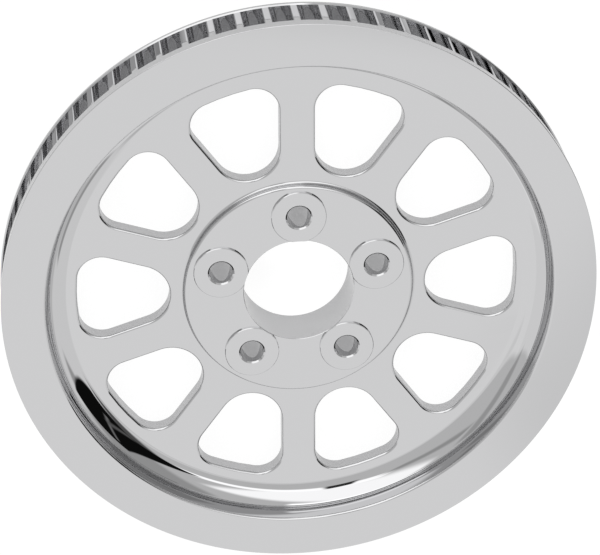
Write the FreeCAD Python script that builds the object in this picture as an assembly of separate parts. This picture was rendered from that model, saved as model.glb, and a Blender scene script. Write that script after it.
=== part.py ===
import FreeCAD, Part
import math
import os

# Toothed belt pulley, turned and milled from one billet and then chromed.
# Origin: centre of the hub's back face, which the pulley rests on. +Z is the bore axis, front side up.
# All sizes are in millimetres.

# Teeth for a belt with a 14 mm pitch and round teeth
teeth = 66
belt_pitch = 14.0
pitch_line_height = 1.4
tooth_depth = 5.8
groove_round = 4.6
tooth_tip_round = 1.2

# Rim and its two flanges
belt_face_width = 20.4
front_flange_thickness = 6.2
back_flange_thickness = 2.9
flange_height = 3.6
flange_edge_round = 0.8
rim_section = 22.0
back_recess = 3.3
edge_break = 0.6

# Dish in front of the web: a straight wall, then a cone that a large round blends into the web
dish_slope = 52.5
dish_cone = 1.2
dish_blend = 14.0

# Web and its windows
web_thickness = 8.4
windows = 10
spoke_width = 17.4
hub_to_window = 5.4
dish_to_window = 4.0
window_corner = 12.0
window_front_round = 1.3
window_back_break = 0.5

# Hub, bore and bolt circle
hub_standoff = 9.9
hub_back_inset = 1.0
hub_back_flare = 3.0
boss_radius = 58.0
boss_height = 3.5
boss_round = 1.4
bore_radius = 27.94
bore_break = 0.5
bolts = 5
first_bolt_angle = 90.0
bolt_circle_radius = 41.275
bolt_hole_radius = 6.0
bolt_hole_break = 1.0
pad_radius = 13.8
pad_height = 1.6
pad_break = 0.8

# Worked out from the sizes above
tip_radius = teeth * belt_pitch / (2 * math.pi) - pitch_line_height
flange_radius = tip_radius + flange_height
rim_wall_radius = flange_radius - rim_section
rim_width = front_flange_thickness + belt_face_width + back_flange_thickness
rim_back = hub_standoff
rim_front = rim_back + rim_width
channel_back = rim_back + back_flange_thickness
channel_front = channel_back + belt_face_width
web_back = rim_back + back_recess
web_front = web_back + web_thickness
boss_face = web_front + boss_height
pad_face = boss_face + pad_height
hub_back_radius = boss_radius - hub_back_inset
slope_angle = math.radians(dish_slope)
blend_setback = dish_blend * math.tan(slope_angle / 2)
cone_length = blend_setback + dish_cone
crease_height = web_front + cone_length * math.sin(slope_angle)
dish_foot_radius = rim_wall_radius - cone_length * math.cos(slope_angle)
window_inner_radius = boss_radius + boss_round + hub_to_window
window_outer_radius = dish_foot_radius - blend_setback - dish_to_window

# How far a cutting tool runs past the face that it cuts, and how near counts as the same place
overrun = 2.0
touch = 1e-4
axis = FreeCAD.Vector(0, 0, 1)
origin = FreeCAD.Vector(0, 0, 0)


def polar(radius, angle, height=0.0):
    return FreeCAD.Vector(radius * math.cos(angle), radius * math.sin(angle), height)


def turned(corners):
    # Revolves an outline of (radius, height, round) corners about the bore axis.
    points = [FreeCAD.Vector(radius, 0, height) for radius, height, corner_round in corners]
    arcs = []
    for index, (radius, height, corner_round) in enumerate(corners):
        corner = points[index]
        to_last = (points[index - 1] - corner).normalize()
        to_next = (points[(index + 1) % len(points)] - corner).normalize()
        half_angle = to_last.getAngle(to_next) / 2
        setback = corner_round / math.tan(half_angle)
        inward = (to_last + to_next).normalize()
        middle = corner + inward * (corner_round / math.sin(half_angle) - corner_round)
        arcs.append((corner + to_last * setback, middle, corner + to_next * setback))
    edges = []
    for index, (start, middle, end) in enumerate(arcs):
        if start.distanceToPoint(end) > touch:
            edges.append(Part.Arc(start, middle, end).toShape())
        next_start = arcs[(index + 1) % len(arcs)][0]
        if end.distanceToPoint(next_start) > touch:
            edges.append(Part.makeLine(end, next_start))
    return Part.Face(Part.Wire(edges)).revolve(origin, axis, 360)


def patterned(tool, count, first_angle):
    # One compound of equal tools spread about the bore axis.
    copies = []
    for index in range(count):
        copy = tool.copy()
        copy.rotate(origin, axis, first_angle + index * 360 / count)
        copies.append(copy)
    return Part.makeCompound(copies)


def flat_edges(shape, height, inner_radius, outer_radius):
    # The edges that lie at one height, within a band of radii.
    found = []
    for edge in shape.Edges:
        box = edge.BoundBox
        radii = [math.hypot(vertex.X, vertex.Y) for vertex in edge.Vertexes]
        level = abs(box.ZMin - height) < touch and abs(box.ZMax - height) < touch
        if level and min(radii) > inner_radius and max(radii) < outer_radius:
            found.append(edge)
    return found


def make_blank():
    # The turned billet: hub, web and rim, with no teeth, windows or holes yet.
    return turned([
        (0, 0, 0),
        (hub_back_radius, 0, 0),
        (hub_back_radius + hub_back_flare, web_back, 0),
        (rim_wall_radius, web_back, 0),
        (rim_wall_radius, rim_back, 0),
        (flange_radius, rim_back, 0),
        (flange_radius, rim_front, flange_edge_round),
        (rim_wall_radius, rim_front, 0),
        (rim_wall_radius, crease_height, 0),
        (dish_foot_radius, web_front, dish_blend),
        (boss_radius, web_front, boss_round),
        (boss_radius, boss_face, boss_round),
        (0, boss_face, 0),
    ])


def make_tooth_outline():
    # The toothed rim seen along the axis: round grooves, rounded tips and a land between two grooves.
    groove_radius = tip_radius - tooth_depth + groove_round
    tip_centre_radius = tip_radius - tooth_tip_round
    centres_apart = groove_round + tooth_tip_round
    square_sum = tip_centre_radius ** 2 + groove_radius ** 2 - centres_apart ** 2
    tip_angle = math.acos(square_sum / (2 * tip_centre_radius * groove_radius))
    step = 2 * math.pi / teeth
    edges = []
    for index in range(teeth):
        angle = index * step
        groove_centre = polar(groove_radius, angle)
        flank = []
        for side in (-1, 1):
            tip_angle_here = angle + side * tip_angle
            tip_centre = polar(tip_centre_radius, tip_angle_here)
            tip_point = polar(tip_radius, tip_angle_here)
            to_tip = (tip_centre - groove_centre).normalize()
            flank_point = groove_centre + to_tip * groove_round
            halfway = ((tip_point - tip_centre).normalize() - to_tip).normalize()
            flank.append((tip_point, tip_centre + halfway * tooth_tip_round, flank_point))
        left, right = flank
        bottom = polar(tip_radius - tooth_depth, angle)
        land_middle = polar(tip_radius, angle + step / 2)
        next_tip = polar(tip_radius, angle + step - tip_angle)
        edges.append(Part.Arc(left[0], left[1], left[2]).toShape())
        edges.append(Part.Arc(left[2], bottom, right[2]).toShape())
        edges.append(Part.Arc(right[2], right[1], right[0]).toShape())
        edges.append(Part.Arc(right[0], land_middle, next_tip).toShape())
    return Part.Wire(edges)


def cut_teeth(blank):
    # Clears the channel between the flanges down to the toothed outline.
    outside = Part.Wire(Part.makeCircle(flange_radius + overrun))
    channel = Part.makeFace([outside, make_tooth_outline()], "Part::FaceMakerBullseye")
    channel.translate(axis * channel_back)
    return blank.cut(channel.extrude(axis * belt_face_width))


def break_edges(body):
    # Breaks the turned edges that are still sharp: hub, back recess, flanges and dish.
    places = [
        (0, hub_back_radius),
        (rim_back, rim_wall_radius),
        (rim_back, flange_radius),
        (channel_back, flange_radius),
        (channel_front, flange_radius),
        (rim_front, rim_wall_radius),
    ]
    sharp = []
    for height, radius in places:
        sharp += flat_edges(body, height, radius - touch, radius + touch)
    return body.makeChamfer(edge_break, sharp)


def make_window():
    # One window between two parallel-sided spokes, with a full round end toward the hub.
    half_step = math.pi / windows
    half_spoke = spoke_width / 2
    end_centre_radius = (window_inner_radius - half_spoke) / (1 - math.sin(half_step))
    end_round = end_centre_radius - window_inner_radius
    corner_radius = window_outer_radius - window_corner
    corner_angle = half_step - math.asin((half_spoke + window_corner) / corner_radius)
    end_centre = polar(end_centre_radius, 0)
    sides = []
    for side in (-1, 1):
        square_to_side = polar(1, side * (half_step + math.pi / 2))
        corner_centre = polar(corner_radius, side * corner_angle)
        end_point = end_centre + square_to_side * end_round
        side_point = corner_centre + square_to_side * window_corner
        outer_point = polar(window_outer_radius, side * corner_angle)
        halfway = (square_to_side + polar(1, side * corner_angle)).normalize()
        sides.append((end_point, side_point, corner_centre + halfway * window_corner, outer_point))
    low, high = sides
    edges = [
        Part.Arc(low[0], polar(window_inner_radius, 0), high[0]).toShape(),
        Part.makeLine(high[0], high[1]),
        Part.Arc(high[1], high[2], high[3]).toShape(),
        Part.Arc(high[3], polar(window_outer_radius, 0), low[3]).toShape(),
        Part.Arc(low[3], low[2], low[1]).toShape(),
        Part.makeLine(low[1], low[0]),
    ]
    window = Part.Face(Part.Wire(edges))
    window.translate(axis * (web_back - overrun))
    return window.extrude(axis * (web_thickness + 2 * overrun))


def cut_windows(body):
    # Mills the windows through the web, rounds their front edges and breaks their back edges.
    opened = body.cut(patterned(make_window(), windows, 0))
    band = (window_inner_radius - touch, window_outer_radius + touch)
    opened = opened.makeFillet(window_front_round, flat_edges(opened, web_front, band[0], band[1]))
    return opened.makeChamfer(window_back_break, flat_edges(opened, web_back, band[0], band[1]))


def add_pads(body):
    # Raised bolt seats with a broken top edge on the hub's front face.
    pad = turned([
        (0, boss_face - overrun, 0),
        (pad_radius, boss_face - overrun, 0),
        (pad_radius, pad_face - pad_break, 0),
        (pad_radius - pad_break, pad_face, 0),
        (0, pad_face, 0),
    ])
    pad.translate(FreeCAD.Vector(bolt_circle_radius, 0, 0))
    return body.fuse(patterned(pad, bolts, first_bolt_angle))


def drill(body):
    # The centre bore and the bolt holes, with a broken edge at both ends. The bore's cuts the pads too.
    above_pads = pad_face + overrun
    bore = turned([
        (0, -overrun, 0),
        (bore_radius + bore_break + overrun, -overrun, 0),
        (bore_radius, bore_break, 0),
        (bore_radius, boss_face - bore_break, 0),
        (bore_radius + bore_break + above_pads - boss_face, above_pads, 0),
        (0, above_pads, 0),
    ])
    bolt_hole = turned([
        (0, -overrun, 0),
        (bolt_hole_radius + bolt_hole_break + overrun, -overrun, 0),
        (bolt_hole_radius, bolt_hole_break, 0),
        (bolt_hole_radius, pad_face - bolt_hole_break, 0),
        (bolt_hole_radius + bolt_hole_break + overrun, above_pads, 0),
        (0, above_pads, 0),
    ])
    bolt_hole.translate(FreeCAD.Vector(bolt_circle_radius, 0, 0))
    return body.cut([bore, patterned(bolt_hole, bolts, first_bolt_angle)])


def make_pulley():
    pulley = break_edges(cut_teeth(make_blank()))
    pulley = add_pads(pulley)
    pulley = cut_windows(pulley)
    return drill(pulley)


os.makedirs("parts", exist_ok=True)
make_pulley().exportStep("parts/pulley.step")
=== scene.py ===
import bmesh
import bpy
import math
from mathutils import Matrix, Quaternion, Vector


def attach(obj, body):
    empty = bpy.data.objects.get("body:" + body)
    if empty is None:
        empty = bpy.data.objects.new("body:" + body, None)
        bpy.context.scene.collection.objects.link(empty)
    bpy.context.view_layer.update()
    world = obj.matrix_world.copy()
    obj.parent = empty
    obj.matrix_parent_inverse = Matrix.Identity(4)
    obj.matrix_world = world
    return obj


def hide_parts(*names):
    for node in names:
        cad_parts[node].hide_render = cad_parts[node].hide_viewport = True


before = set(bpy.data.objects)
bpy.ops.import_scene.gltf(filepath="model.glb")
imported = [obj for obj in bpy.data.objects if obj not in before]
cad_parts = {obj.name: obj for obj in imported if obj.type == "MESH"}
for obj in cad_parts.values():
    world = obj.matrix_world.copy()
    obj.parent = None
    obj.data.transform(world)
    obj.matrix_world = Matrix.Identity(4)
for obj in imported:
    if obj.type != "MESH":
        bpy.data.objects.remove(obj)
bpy.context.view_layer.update()        # one node, the pulley, on body "root"
print("frame loaded:", sorted(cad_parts))

metresPerMm = 0.001


def hexToLinear(code):
    # "#RRGGBB" as written on a colour chart, to the linear values that the shaders take
    channels = [int(code[place:place + 2], 16) / 255 for place in (1, 3, 5)]
    linear = [c / 12.92 if c <= 0.04045 else ((c + 0.055) / 1.055) ** 2.4 for c in channels]
    return (*linear, 1.0)


def addNode(tree, kind, settings, links):
    # a setting goes to the socket of that name or number, or else to the node's own option
    node = tree.nodes.new(kind)
    for name, value in settings.items():
        if isinstance(name, int) or name in node.inputs:
            node.inputs[name].default_value = value
        else:
            setattr(node, name, value)
    for name, source in links.items():
        tree.links.new(source, node.inputs[name])
    return node


def newTree(owner):
    owner.use_nodes = True
    owner.node_tree.nodes.clear()
    return owner.node_tree


# Chrome plate on buffed aluminium: a mirror, a little grey, with the faint haze and slow ripple
# that the buffing wheel leaves under the plate.
chromePlate = {
    "colour": "#C8C8C9",
    "roughest": 0.012,
    "smoothest": 0.004,
    "hazeMm": 9.0,          # size of a hazy patch
    "rippleMm": 26.0,       # length of a ripple from buffing
    "rippleHeightMm": 0.0006,
}


def buffedChromePlate():
    material = bpy.data.materials.new("buffed_chrome_plate")
    tree = newTree(material)
    place = addNode(tree, "ShaderNodeTexCoord", {}, {})
    haze = addNode(tree, "ShaderNodeTexNoise",
                   {"Scale": 1 / (chromePlate["hazeMm"] * metresPerMm), "Detail": 4.0, "Roughness": 0.6},
                   {"Vector": place.outputs["Object"]})
    roughness = addNode(tree, "ShaderNodeMapRange",
                        {"From Min": 0.3, "From Max": 0.7,
                         "To Min": chromePlate["smoothest"], "To Max": chromePlate["roughest"]},
                        {"Value": haze.outputs["Fac"]})
    ripple = addNode(tree, "ShaderNodeTexNoise",
                     {"Scale": 1 / (chromePlate["rippleMm"] * metresPerMm), "Detail": 1.0},
                     {"Vector": place.outputs["Object"]})
    bump = addNode(tree, "ShaderNodeBump",
                   {"Strength": 1.0, "Distance": chromePlate["rippleHeightMm"] * metresPerMm},
                   {"Height": ripple.outputs["Fac"]})
    shader = addNode(tree, "ShaderNodeBsdfPrincipled",
                     {"Base Color": hexToLinear(chromePlate["colour"]), "Metallic": 1.0},
                     {"Roughness": roughness.outputs["Result"], "Normal": bump.outputs["Normal"]})
    addNode(tree, "ShaderNodeOutputMaterial", {}, {"Surface": shader.outputs["BSDF"]})
    return material


# Pulley: the CAD part's sizes in millimetres, drawn with finer rounds, because in a mirror every
# flat of a coarse mesh shows. Small edges, the dish's lip and the bolt seats follow the photograph.
pulleyShape = {
    "turnSteps": 480,
    "arcStepDegrees": 4.0, "smallArcStepDegrees": 6.0, "smallRound": 1.5,
    "flangeRadius": 149.259, "flangeRound": 0.35, "edgeBreak": 0.6,
    "rimBack": 9.9, "rimFront": 39.4, "channelBack": 12.8, "channelFront": 33.2,
    "dishRadius": 127.259, "dishSlope": 52.5, "dishCone": 1.2, "dishBlend": 14.0,
    "lipRound": 1.2, "creaseRound": 2.5,
    "teeth": 66, "tipRadius": 145.659, "toothDepth": 5.8, "grooveRound": 4.6, "tipRound": 1.2,
    "webBack": 13.2, "webFront": 21.6,
    "windows": 10, "spokeWidth": 17.4, "windowInner": 64.8, "windowOuter": 111.42, "windowCorner": 12.0,
    "windowFrontRound": 1.3, "windowBackBreak": 0.5,
    "hubBackRadius": 57.0, "hubBackFlare": 3.0, "bossRadius": 58.0, "bossRound": 1.4, "bossFace": 25.1,
    "boreRadius": 27.94, "boreBreak": 0.2,
    "bolts": 5, "firstBolt": 90.0, "boltCircle": 41.275, "holeRadius": 6.0, "holeBreak": 0.7,
    "padRadius": 13.8, "padFace": 26.3, "padBreak": 0.3, "holeSteps": 120,
    "overrun": 2.0,                                # how far a cutting tool runs past its face
    "mergeDistance": 0.001, "sameLevel": 0.001, "jointReach": 0.2,
    "shadeAngleDegrees": 25.0, "shadeWeight": 100,
}


def polar(radius, angle):
    return Vector((radius * math.cos(angle), radius * math.sin(angle)))


def arcPoints(centre, radius, first, last):
    shape = pulleyShape
    turn = shape["smallArcStepDegrees"] if radius < shape["smallRound"] else shape["arcStepDegrees"]
    steps = max(2, math.ceil(abs(last - first) / math.radians(turn)))
    return [centre + polar(radius, first + (last - first) * step / steps) for step in range(steps + 1)]


def chainPoints(corners):
    # (radius, height, round) corners to points; the first and last corner are plain
    points = []
    for index, (radius, height, size) in enumerate(corners):
        corner = Vector((radius, height))
        if size == 0:
            points.append(corner)
            continue
        toLast = (Vector(corners[index - 1][:2]) - corner).normalized()
        toNext = (Vector(corners[index + 1][:2]) - corner).normalized()
        half = toLast.angle(toNext) / 2
        centre = corner + (toLast + toNext).normalized() * (size / math.sin(half))
        start = corner + toLast * (size / math.tan(half)) - centre
        finish = corner + toNext * (size / math.tan(half)) - centre
        first = math.atan2(start.y, start.x)
        turn = (math.atan2(finish.y, finish.x) - first + math.pi) % (2 * math.pi) - math.pi
        points += arcPoints(centre, size, first, first + turn)
    return points


def newMesh(name, points, edges, faces):
    mesh = bpy.data.meshes.new(name)
    mesh.from_pydata([Vector(point) * metresPerMm for point in points], edges, faces)
    piece = bpy.data.objects.new(name, mesh)
    bpy.context.collection.objects.link(piece)
    return piece


def takeUp(*pieces):
    bpy.ops.object.select_all(action="DESELECT")
    for piece in pieces:
        piece.select_set(True)
    bpy.context.view_layer.objects.active = pieces[0]


def closeUp():
    # in edit mode: merges doubles and turns the faces outwards
    bpy.ops.mesh.select_all(action="SELECT")
    bpy.ops.mesh.remove_doubles(threshold=pulleyShape["mergeDistance"] * metresPerMm)
    bpy.ops.mesh.normals_make_consistent(inside=False)


def turnPiece(name, corners, steps, closed):
    chain = [(point.x, 0, point.y) for point in chainPoints(corners)]
    edges = [(index, index + 1) for index in range(len(chain) - 1)]
    if closed:
        edges.append((len(chain) - 1, 0))
    piece = newMesh(name, chain, edges, [])
    takeUp(piece)
    bpy.ops.object.mode_set(mode="EDIT")
    bpy.ops.mesh.select_all(action="SELECT")
    bpy.ops.mesh.spin(steps=steps, angle=2 * math.pi, center=(0, 0, 0), axis=(0, 0, 1))
    closeUp()
    bpy.ops.object.mode_set(mode="OBJECT")
    return piece


def wallBetween(name, rings):
    # a wall through closed rings of (outline, height), all with the same number of points
    count = len(rings[0][0])
    points = [(point.x, point.y, height) for outline, height in rings for point in outline]
    faces = []
    for ring in range(len(rings) - 1):
        for index in range(count):
            after = (index + 1) % count
            faces.append((ring * count + index, ring * count + after,
                          (ring + 1) * count + after, (ring + 1) * count + index))
    return newMesh(name, points, [], faces)


def copyRound(piece, count):
    takeUp(piece)
    bpy.ops.object.mode_set(mode="EDIT")
    bpy.ops.mesh.select_all(action="SELECT")
    bpy.ops.mesh.spin(steps=count - 1, dupli=True, angle=2 * math.pi * (count - 1) / count,
                      center=(0, 0, 0), axis=(0, 0, 1))
    bpy.ops.object.mode_set(mode="OBJECT")
    return piece


def toothOutline():
    shape = pulleyShape
    grooveRadius = shape["tipRadius"] - shape["toothDepth"] + shape["grooveRound"]
    tipCentreRadius = shape["tipRadius"] - shape["tipRound"]
    apart = shape["grooveRound"] + shape["tipRound"]
    tipAngle = math.acos((tipCentreRadius ** 2 + grooveRadius ** 2 - apart ** 2)
                         / (2 * tipCentreRadius * grooveRadius))
    step = 2 * math.pi / shape["teeth"]
    outline = []
    for tooth in range(shape["teeth"]):
        angle = tooth * step
        groove = polar(grooveRadius, angle)
        left = polar(tipCentreRadius, angle - tipAngle)
        right = polar(tipCentreRadius, angle + tipAngle)
        leftTurn = math.remainder(math.atan2(left.y - groove.y, left.x - groove.x) - angle, 2 * math.pi)
        rightTurn = math.remainder(math.atan2(right.y - groove.y, right.x - groove.x) - angle, 2 * math.pi)
        outline += arcPoints(left, shape["tipRound"], angle - tipAngle, angle + leftTurn + math.pi)[:-1]
        outline += arcPoints(groove, shape["grooveRound"],
                             angle + leftTurn, angle + rightTurn - 2 * math.pi)[:-1]
        outline += arcPoints(right, shape["tipRound"],
                             angle + rightTurn + math.pi, angle + tipAngle + 2 * math.pi)
        outline += arcPoints(Vector((0, 0)), shape["tipRadius"],
                             angle + tipAngle, angle + step - tipAngle)[1:-1]
    return outline


def windowOutline(larger):
    # the window's outline with every wall moved out by a distance
    shape = pulleyShape
    halfStep = math.pi / shape["windows"]
    halfSpoke = shape["spokeWidth"] / 2
    side = halfStep + math.pi / 2
    endRadius = (shape["windowInner"] - halfSpoke) / (1 - math.sin(halfStep))
    cornerRadius = shape["windowOuter"] - shape["windowCorner"]
    cornerAngle = halfStep - math.asin((halfSpoke + shape["windowCorner"]) / cornerRadius)
    corner = shape["windowCorner"] + larger
    outline = arcPoints(Vector((0, 0)), shape["windowOuter"] + larger, -cornerAngle, cornerAngle)[:-1]
    outline += arcPoints(polar(cornerRadius, cornerAngle), corner, cornerAngle, side)
    end = endRadius - shape["windowInner"] + larger
    outline += arcPoints(polar(endRadius, 0), end, side, 2 * math.pi - side)
    outline += arcPoints(polar(cornerRadius, -cornerAngle), corner, -side, -cornerAngle)[:-1]
    return outline


def windowWall():
    shape = pulleyShape
    size = shape["windowFrontRound"]
    rings = []
    for point in arcPoints(Vector((size, -size)), size, math.pi / 2, math.pi):
        rings.append((windowOutline(point.x), shape["webFront"] + point.y))
    rings.append((windowOutline(0), shape["webBack"] + shape["windowBackBreak"]))
    rings.append((windowOutline(shape["windowBackBreak"]), shape["webBack"]))
    return copyRound(wallBetween("windows", rings), shape["windows"])


def atBolts(piece):
    takeUp(piece)
    bpy.ops.object.mode_set(mode="EDIT")
    bpy.ops.mesh.select_all(action="SELECT")
    place = polar(pulleyShape["boltCircle"] * metresPerMm, math.radians(pulleyShape["firstBolt"]))
    bpy.ops.transform.translate(value=(place.x, place.y, 0))
    bpy.ops.object.mode_set(mode="OBJECT")
    return copyRound(piece, pulleyShape["bolts"])


def combine(piece, tool, operation):
    takeUp(piece)
    change = piece.modifiers.new(operation.lower(), "BOOLEAN")
    change.operation = operation
    change.solver = "EXACT"
    change.object = tool
    bpy.ops.object.modifier_apply(modifier=change.name)
    bpy.data.objects.remove(tool)


def makeHub():
    # turned hub with pads, bore and bolt holes; the ring where the web joins it is left open
    shape = pulleyShape
    footRadius = shape["hubBackRadius"] + shape["hubBackFlare"]
    bossFoot = shape["bossRadius"] + shape["bossRound"]
    core = shape["boreRadius"] / 2
    edgeBreak = shape["edgeBreak"]
    lean = math.atan2(shape["hubBackFlare"], shape["webBack"])
    hub = turnPiece("hub", [
        (footRadius, shape["webBack"], 0),
        (bossFoot, shape["webFront"], 0),
        (shape["bossRadius"], shape["webFront"], shape["bossRound"]),
        (shape["bossRadius"], shape["bossFace"], shape["bossRound"]),
        (core, shape["bossFace"], 0),
        (core, 0, 0),
        (shape["hubBackRadius"] - edgeBreak, 0, 0),
        (shape["hubBackRadius"] + edgeBreak * math.sin(lean), edgeBreak * math.cos(lean), 0),
    ], shape["turnSteps"], True)
    overrun = shape["overrun"]
    pads = atBolts(turnPiece("pads", [
        (0, shape["bossFace"] - overrun, 0),
        (shape["padRadius"], shape["bossFace"] - overrun, 0),
        (shape["padRadius"], shape["padFace"] - shape["padBreak"], 0),
        (shape["padRadius"] - shape["padBreak"], shape["padFace"], 0),
        (0, shape["padFace"], 0),
    ], shape["holeSteps"], False))
    combine(hub, pads, "UNION")
    above = shape["padFace"] + overrun
    bore = turnPiece("bore", [
        (0, -overrun, 0),
        (shape["boreRadius"] + shape["boreBreak"] + overrun, -overrun, 0),
        (shape["boreRadius"], shape["boreBreak"], 0),
        (shape["boreRadius"], shape["bossFace"] - shape["boreBreak"], 0),
        (shape["boreRadius"] + shape["boreBreak"], shape["bossFace"], 0),
        (shape["boreRadius"] + shape["boreBreak"], above, 0),
        (0, above, 0),
    ], shape["turnSteps"], False)
    combine(hub, bore, "DIFFERENCE")
    holes = atBolts(turnPiece("holes", [
        (0, -overrun, 0),
        (shape["holeRadius"] + shape["holeBreak"] + overrun, -overrun, 0),
        (shape["holeRadius"], shape["holeBreak"], 0),
        (shape["holeRadius"], shape["padFace"] - shape["holeBreak"], 0),
        (shape["holeRadius"] + shape["holeBreak"] + overrun, above, 0),
        (0, above, 0),
    ], shape["holeSteps"], False))
    combine(hub, holes, "DIFFERENCE")
    takeUp(hub)
    bpy.ops.object.mode_set(mode="EDIT")
    mesh = bmesh.from_edit_mesh(hub.data)
    middle = (footRadius + bossFoot) / 2 * metresPerMm
    for face in mesh.faces:
        place = face.calc_center_median()
        joint = abs(math.hypot(place.x, place.y) - middle) < shape["jointReach"] * metresPerMm
        inWeb = shape["webBack"] < place.z / metresPerMm < shape["webFront"]
        face.select_set(joint and inWeb)
    bpy.ops.mesh.delete(type="FACE")
    bpy.ops.object.mode_set(mode="OBJECT")
    return hub


def makeRim():
    shape = pulleyShape
    edgeBreak = shape["edgeBreak"]
    slope = math.radians(shape["dishSlope"])
    setback = shape["dishBlend"] * math.tan(slope / 2)
    cone = setback + shape["dishCone"]
    dishFoot = shape["dishRadius"] - cone * math.cos(slope)
    front = turnPiece("rim_front", [
        (dishFoot - setback, shape["webFront"], 0),
        (dishFoot, shape["webFront"], shape["dishBlend"]),
        (shape["dishRadius"], shape["webFront"] + cone * math.sin(slope), shape["creaseRound"]),
        (shape["dishRadius"], shape["rimFront"], shape["lipRound"]),
        (shape["flangeRadius"], shape["rimFront"], shape["flangeRound"]),
        (shape["flangeRadius"], shape["channelFront"] + edgeBreak, 0),
        (shape["flangeRadius"] - edgeBreak, shape["channelFront"], 0),
    ], shape["turnSteps"], False)
    back = turnPiece("rim_back", [
        (shape["flangeRadius"] - edgeBreak, shape["channelBack"], 0),
        (shape["flangeRadius"], shape["channelBack"] - edgeBreak, 0),
        (shape["flangeRadius"], shape["rimBack"] + edgeBreak, 0),
        (shape["flangeRadius"] - edgeBreak, shape["rimBack"], 0),
        (shape["dishRadius"] + edgeBreak, shape["rimBack"], 0),
        (shape["dishRadius"], shape["rimBack"] + edgeBreak, 0),
        (shape["dishRadius"], shape["webBack"], 0),
    ], shape["turnSteps"], False)
    outline = toothOutline()
    teeth = wallBetween("teeth", [(outline, shape["channelBack"]), (outline, shape["channelFront"])])
    return front, back, teeth


def makePulley():
    # joins the walls, fills the flat faces between them and shades each flat flat and each round round
    shape = pulleyShape
    takeUp(*makeRim(), windowWall(), makeHub())
    bpy.ops.object.join()
    piece = bpy.context.object
    piece.name = "chrome_pulley"
    bpy.ops.object.mode_set(mode="EDIT")
    closeUp()
    mesh = bmesh.from_edit_mesh(piece.data)
    for height in (shape["webFront"], shape["webBack"], shape["channelFront"], shape["channelBack"]):
        bpy.ops.mesh.select_all(action="DESELECT")
        for edge in mesh.edges:
            level = all(abs(vertex.co.z / metresPerMm - height) < shape["sameLevel"] for vertex in edge.verts)
            edge.select_set(edge.is_boundary and level)
        bpy.ops.mesh.fill(use_beauty=False)
    closeUp()
    bpy.ops.object.mode_set(mode="OBJECT")
    bpy.ops.object.shade_smooth_by_angle(angle=math.radians(shape["shadeAngleDegrees"]))
    shading = piece.modifiers.new("shading", "WEIGHTED_NORMAL")
    shading.keep_sharp = True
    shading.weight = shape["shadeWeight"]
    bpy.ops.object.modifier_apply(modifier=shading.name)
    return piece


pulley = makePulley()
pulley.data.materials.clear()
pulley.data.materials.append(buffedChromePlate())
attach(pulley, "root")
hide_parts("pulley")
print("pulley made:", len(pulley.data.polygons), "faces, finished in", pulley.data.materials[0].name)


# Floor: a matte paper sheet, white to the camera with a trace of the shadow.
# Metal and glass show it half as washed out, so the pulley's walls mirror the shadow under it.
paperSheet = {
    "size": 20.0,
    "drop": 0.0002,         # just clear of the hub's back face
    "colour": "#E6E6E6",
    "whiteGlow": 0.9,
    "shadowColour": "#707070",
    "mirroredShare": 0.5,
}


def mattePaper():
    material = bpy.data.materials.new("matte_paper")
    tree = newTree(material)
    rays = addNode(tree, "ShaderNodeLightPath", {}, {})
    mirrored = addNode(tree, "ShaderNodeMath", {"operation": "MAXIMUM"},
                       {0: rays.outputs["Is Glossy Ray"], 1: rays.outputs["Is Transmission Ray"]})
    dimmed = addNode(tree, "ShaderNodeMath", {"operation": "MULTIPLY", 1: paperSheet["mirroredShare"]},
                     {0: mirrored.outputs[0]})
    share = addNode(tree, "ShaderNodeMath", {"operation": "MAXIMUM"},
                    {0: rays.outputs["Is Camera Ray"], 1: dimmed.outputs[0]})
    paper = addNode(tree, "ShaderNodeBsdfDiffuse", {"Color": hexToLinear(paperSheet["colour"])}, {})
    glow = addNode(tree, "ShaderNodeEmission", {"Strength": paperSheet["whiteGlow"]}, {})
    shadow = addNode(tree, "ShaderNodeBsdfDiffuse", {"Color": hexToLinear(paperSheet["shadowColour"])}, {})
    white = addNode(tree, "ShaderNodeAddShader", {}, {0: glow.outputs[0], 1: shadow.outputs[0]})
    sheet = addNode(tree, "ShaderNodeMixShader", {},
                    {"Fac": share.outputs[0], 1: paper.outputs[0], 2: white.outputs[0]})
    # from below the sheet is clear, so that the pulley's back can be looked at
    side = addNode(tree, "ShaderNodeNewGeometry", {}, {})
    clear = addNode(tree, "ShaderNodeBsdfTransparent", {}, {})
    shown = addNode(tree, "ShaderNodeMixShader", {},
                    {"Fac": side.outputs["Backfacing"], 1: sheet.outputs[0], 2: clear.outputs[0]})
    addNode(tree, "ShaderNodeOutputMaterial", {}, {"Surface": shown.outputs[0]})
    return material


bpy.ops.object.select_all(action="DESELECT")
bpy.ops.mesh.primitive_plane_add(size=paperSheet["size"], location=(0, 0, -paperSheet["drop"]))
floor = bpy.context.object
floor.name = "floor"
floor.data.materials.append(mattePaper())
print("floor laid")


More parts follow.
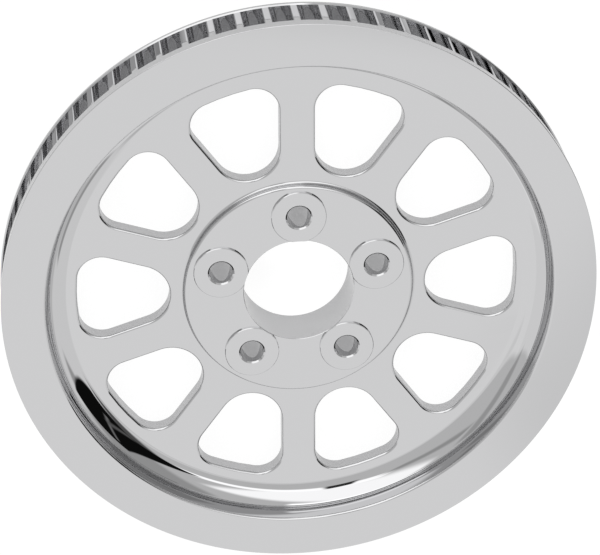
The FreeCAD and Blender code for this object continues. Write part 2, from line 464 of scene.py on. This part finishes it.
# Studio: pale and dark panels round the pulley, far enough off to be drawn in the world.
# Angles are in degrees, azimuth from +X towards +Y. Half sizes and blur are in units of a panel's distance.
studio = {
    "upperLevel": 0.73,
    "lowerLevel": 1.00,
    "horizonBlur": 0.15,
    "panels": (
        {"name": "front table", "azimuth": -102.9, "elevation": -19.7, "halfWidth": 1.29, "halfHeight": 1.11,
         "roll": 4, "blur": 0.2, "level": 1.16},
        {"name": "front", "azimuth": -110.0, "elevation": 45.0, "halfWidth": 0.66, "halfHeight": 0.46,
         "roll": 9, "blur": 0.03, "level": 1.05},
        {"name": "front top", "azimuth": -83.4, "elevation": 70.7, "halfWidth": 0.39, "halfHeight": 0.04,
         "roll": -2, "blur": 0.03, "level": 0.94},
        {"name": "front left", "azimuth": -156.9, "elevation": 16.9, "halfWidth": 0.32, "halfHeight": 0.53,
         "roll": -17, "blur": 0.03, "level": 0.99},
        {"name": "front right", "azimuth": -24.3, "elevation": 36.7, "halfWidth": 0.63, "halfHeight": 0.44,
         "roll": -15, "blur": 0.04, "level": 0.94},
        {"name": "table edge", "azimuth": -83.7, "elevation": 18.7, "halfWidth": 0.86, "halfHeight": 0.10,
         "roll": 12, "blur": 0.05, "level": 0.46},
        {"name": "horizon", "azimuth": -78.7, "elevation": 9.5, "halfWidth": 0.38, "halfHeight": 0.24,
         "roll": 17, "blur": 0.03, "level": 1.03},
        {"name": "corner", "azimuth": -123.4, "elevation": 6.8, "halfWidth": 0.32, "halfHeight": 0.11,
         "roll": 12, "blur": 0.03, "level": 0.67},
        {"name": "side", "azimuth": 19.8, "elevation": 26.1, "halfWidth": 0.60, "halfHeight": 0.33,
         "roll": -38, "blur": 0.07, "level": 0.46},
        {"name": "back", "azimuth": 97.7, "elevation": 44.1, "halfWidth": 0.35, "halfHeight": 0.69,
         "roll": 39, "blur": 0.10, "level": 1.60},
        {"name": "back low", "azimuth": 105.3, "elevation": 13.4, "halfWidth": 0.46, "halfHeight": 0.09,
         "roll": -13, "blur": 0.04, "level": 2.00},
        {"name": "top", "azimuth": 60.3, "elevation": 75.1, "halfWidth": 0.48, "halfHeight": 0.07,
         "roll": 2, "blur": 0.03, "level": 1.75},
        {"name": "dark flag", "azimuth": 1.5, "elevation": 42.2, "halfWidth": 0.24, "halfHeight": 0.45,
         "roll": 14, "blur": 0.015, "level": 0.006},
        {"name": "flag slit", "azimuth": 4, "elevation": 40, "halfWidth": 0.012, "halfHeight": 0.30,
         "roll": 34, "blur": 0.012, "level": 0.22},
        {"name": "flag fold", "azimuth": -4, "elevation": 52, "halfWidth": 0.02, "halfHeight": 0.16,
         "roll": 20, "blur": 0.02, "level": 0.14},
        {"name": "flag tail", "azimuth": -28.4, "elevation": 63.9, "halfWidth": 0.14, "halfHeight": 0.05,
         "roll": 5, "blur": 0.025, "level": 0.12},
        {"name": "camera", "azimuth": 98.0, "elevation": 74.6, "halfWidth": 0.05, "halfHeight": 0.09,
         "roll": 0, "blur": 0.015, "level": 0.04},
        {"name": "post", "azimuth": 144.5, "elevation": 51.3, "halfWidth": 0.07, "halfHeight": 0.33,
         "roll": 21, "blur": 0.05, "level": 0.44},
        {"name": "left low", "azimuth": 165.1, "elevation": 30.4, "halfWidth": 0.39, "halfHeight": 0.10,
         "roll": 38, "blur": 0.05, "level": 0.48},
        {"name": "side low", "azimuth": 23.7, "elevation": 9.4, "halfWidth": 0.32, "halfHeight": 0.01,
         "roll": 20, "blur": 0.02, "level": 0.15},
    ),
}


def hangPanel(tree, look, beneath, panel):
    azimuth = math.radians(panel["azimuth"])
    elevation = math.radians(panel["elevation"])
    level = math.cos(elevation)
    ahead = Vector((level * math.cos(azimuth), level * math.sin(azimuth), math.sin(elevation)))
    across = Vector((-math.sin(azimuth), math.cos(azimuth), 0))
    across.rotate(Quaternion(ahead, math.radians(panel["roll"])))
    above = ahead.cross(across)
    depth = addNode(tree, "ShaderNodeVectorMath", {"operation": "DOT_PRODUCT", 1: ahead}, {0: look})
    cover = addNode(tree, "ShaderNodeMath", {"operation": "GREATER_THAN", 1: 0.0},
                    {0: depth.outputs["Value"]})
    for direction, reach in ((across, panel["halfWidth"]), (above, panel["halfHeight"])):
        offset = addNode(tree, "ShaderNodeVectorMath", {"operation": "DOT_PRODUCT", 1: direction},
                         {0: look})
        slope = addNode(tree, "ShaderNodeMath", {"operation": "DIVIDE"},
                        {0: offset.outputs["Value"], 1: depth.outputs["Value"]})
        distance = addNode(tree, "ShaderNodeMath", {"operation": "ABSOLUTE"}, {0: slope.outputs[0]})
        edge = addNode(tree, "ShaderNodeMapRange",
                       {"interpolation_type": "SMOOTHSTEP", "From Min": reach - panel["blur"],
                        "From Max": reach + panel["blur"], "To Min": 1.0, "To Max": 0.0},
                       {"Value": distance.outputs[0]})
        cover = addNode(tree, "ShaderNodeMath", {"operation": "MULTIPLY"},
                        {0: cover.outputs[0], 1: edge.outputs["Result"]})
    return addNode(tree, "ShaderNodeMix", {3: panel["level"]}, {0: cover.outputs[0], 2: beneath}).outputs[0]


def buildStudio():
    world = bpy.data.worlds.new("studio")
    bpy.context.scene.world = world
    tree = newTree(world)
    look = addNode(tree, "ShaderNodeTexCoord", {}, {}).outputs["Generated"]
    parts = addNode(tree, "ShaderNodeSeparateXYZ", {}, {0: look})
    surround = addNode(tree, "ShaderNodeMapRange",
                       {"interpolation_type": "SMOOTHSTEP", "From Min": -studio["horizonBlur"],
                        "From Max": studio["horizonBlur"], "To Min": studio["lowerLevel"],
                        "To Max": studio["upperLevel"]},
                       {"Value": parts.outputs["Z"]}).outputs["Result"]
    for panel in studio["panels"]:
        surround = hangPanel(tree, look, surround, panel)
    lit = addNode(tree, "ShaderNodeBackground", {}, {"Color": surround})
    addNode(tree, "ShaderNodeOutputWorld", {}, {"Surface": lit.outputs[0]})


buildStudio()
bpy.context.scene.view_settings.view_transform = "Standard"
# the dish, the grooves and the holes mirror themselves many times, and those images stay crisp
bpy.context.scene.cycles.glossy_bounces = 12
bpy.context.scene.cycles.blur_glossy = 0.0
print("studio lit")


# Camera: high in front of the pulley, a long lens
viewpoint = {
    "place": (-0.1191, 0.5812, 1.1107),
    "turnDegrees": (-27.70, -6.396, -0.210),
    "lens": 147.35,
    "sensorWidth": 36.0,
}
bpy.ops.object.camera_add(location=viewpoint["place"],
                          rotation=[math.radians(angle) for angle in viewpoint["turnDegrees"]])
camera = bpy.context.object
camera.data.lens = viewpoint["lens"]
camera.data.sensor_fit = "HORIZONTAL"
camera.data.sensor_width = viewpoint["sensorWidth"]
bpy.context.scene.camera = camera
print("camera set")
